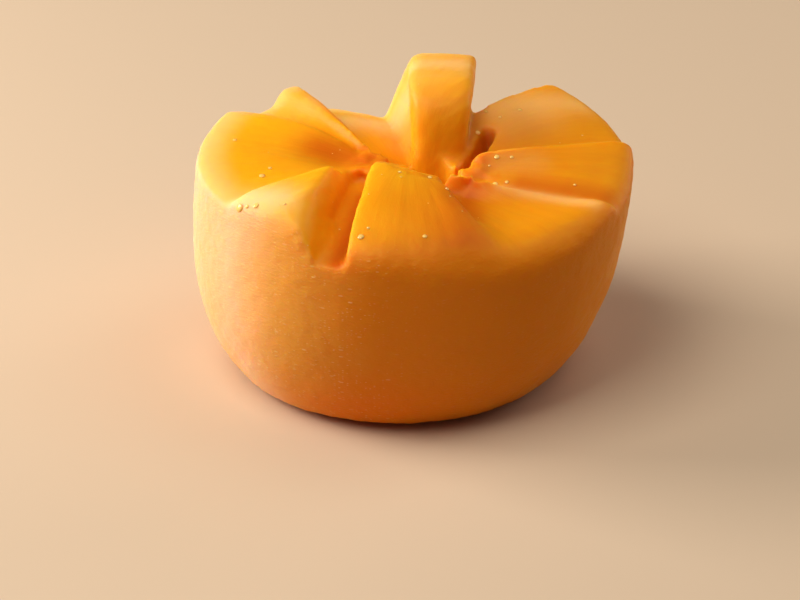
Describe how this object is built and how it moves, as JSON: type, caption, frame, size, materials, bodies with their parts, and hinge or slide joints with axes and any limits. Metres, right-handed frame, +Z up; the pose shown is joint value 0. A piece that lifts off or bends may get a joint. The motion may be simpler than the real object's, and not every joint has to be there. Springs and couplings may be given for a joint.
{
  "type": "cut mango",
  "caption": "Half of a fresh mango standing on a flat base, its top cut into spreading petals round a torn core, with one tall wedge left upright at the back.",
  "frame": {"origin": "middle of the flat base that the fruit stands on", "axes": "+Z up; -Y towards the side with the deep slot; +X towards the side with the three long petals"},
  "size_m": [0.0956, 0.0884, 0.0589],
  "materials": {
    "fruit": "moist fruit flesh with thin matt skin"
  },
  "bodies": {
    "root": {"mango": "fruit"}
  },
  "joints": []
}
